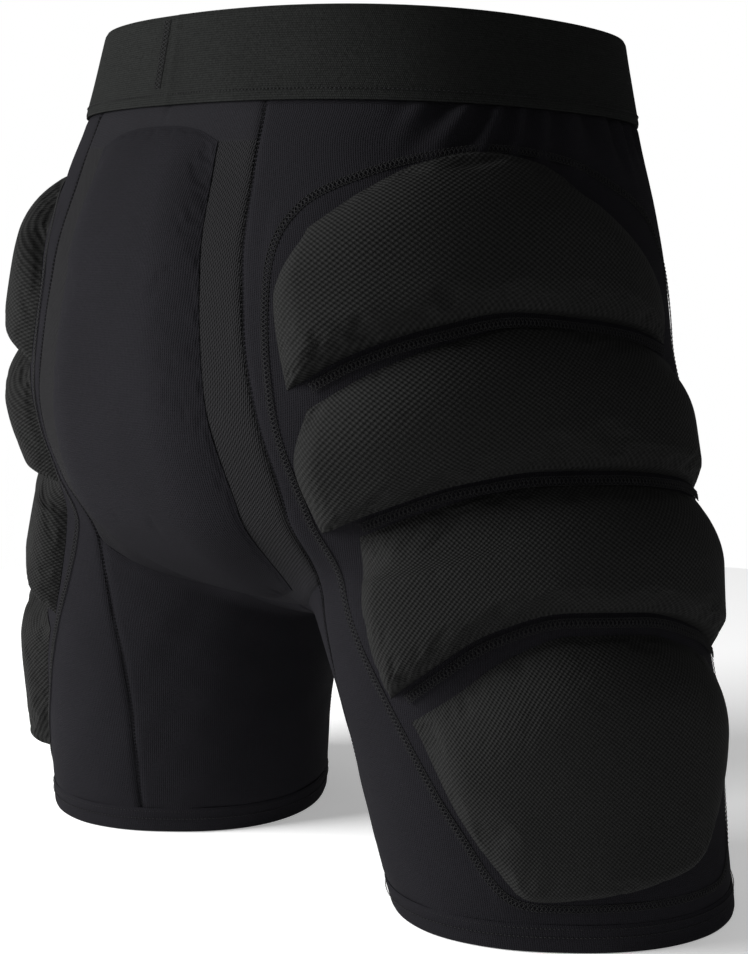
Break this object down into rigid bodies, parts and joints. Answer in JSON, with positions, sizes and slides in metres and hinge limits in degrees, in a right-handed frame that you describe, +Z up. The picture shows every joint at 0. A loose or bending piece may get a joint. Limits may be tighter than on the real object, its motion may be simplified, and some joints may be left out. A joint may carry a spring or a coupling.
{
  "type": "padded impact shorts",
  "caption": "Close-fitting stretch shorts with a wide elastic waistband, a foam seat pad and foam pads over each hip and thigh.",
  "frame": {"origin": "middle of the footprint of the whole garment, on the plane of the two leg hems", "axes": "+Z up the body to the waistband, +X to the wearer's left, -Y to the wearer's front"},
  "size_m": [0.4768, 0.282, 0.4402],
  "materials": {
    "jersey": "fine stretch jersey, soft matte black with a faint blue cast",
    "vent_knit": "breathable honeycomb knit, matte black",
    "pad_cloth": "fine grained stretch cover cloth moulded over the pads, black",
    "elastic": "ribbed woven waist elastic, charcoal black",
    "foam": "closed-cell EVA foam, dark grey",
    "thread": "black polyester sewing thread"
  },
  "bodies": {
    "root": {"crotch_gusset": "jersey", "front_pouch_lining": "vent_knit", "front_pouch_panel": "jersey", "left_back_seam_stitch": "thread", "left_channel_stitch_1": "thread", "left_channel_stitch_2": "thread", "left_channel_stitch_3": "thread", "left_front_panel": "jersey", "left_hem_stitch": "thread", "left_hip_pad_cover_1": "pad_cloth", "left_hip_pad_cover_2": "pad_cloth", "left_hip_pad_cover_3": "pad_cloth", "left_hip_pad_cover_4": "pad_cloth", "left_hip_pad_foam_1": "foam", "left_hip_pad_foam_2": "foam", "left_hip_pad_foam_3": "foam", "left_hip_pad_foam_4": "foam", "left_inner_leg_panel": "jersey", "left_inner_seam_stitch": "thread", "left_leg_hem": "jersey", "left_pad_border_stitch": "thread", "left_pouch_seam_stitch": "thread", "left_side_panel": "jersey", "left_side_seam_stitch": "thread", "right_back_seam_stitch": "thread", "right_channel_stitch_1": "thread", "right_channel_stitch_2": "thread", "right_channel_stitch_3": "thread", "right_front_panel": "jersey", "right_hem_stitch": "thread", "right_hip_pad_cover_1": "pad_cloth", "right_hip_pad_cover_2": "pad_cloth", "right_hip_pad_cover_3": "pad_cloth", "right_hip_pad_cover_4": "pad_cloth", "right_hip_pad_foam_1": "foam", "right_hip_pad_foam_2": "foam", "right_hip_pad_foam_3": "foam", "right_hip_pad_foam_4": "foam", "right_inner_leg_panel": "jersey", "right_inner_seam_stitch": "thread", "right_leg_hem": "jersey", "right_pad_border_stitch": "thread", "right_pouch_seam_stitch": "thread", "right_side_panel": "jersey", "right_side_seam_stitch": "thread", "seat_pad_cover": "pad_cloth", "seat_pad_foam": "foam", "seat_panel": "vent_knit", "waistband_elastic": "elastic", "waistband_join_stitch": "thread", "waistband_seam_stitch": "thread"}
  },
  "joints": []
}
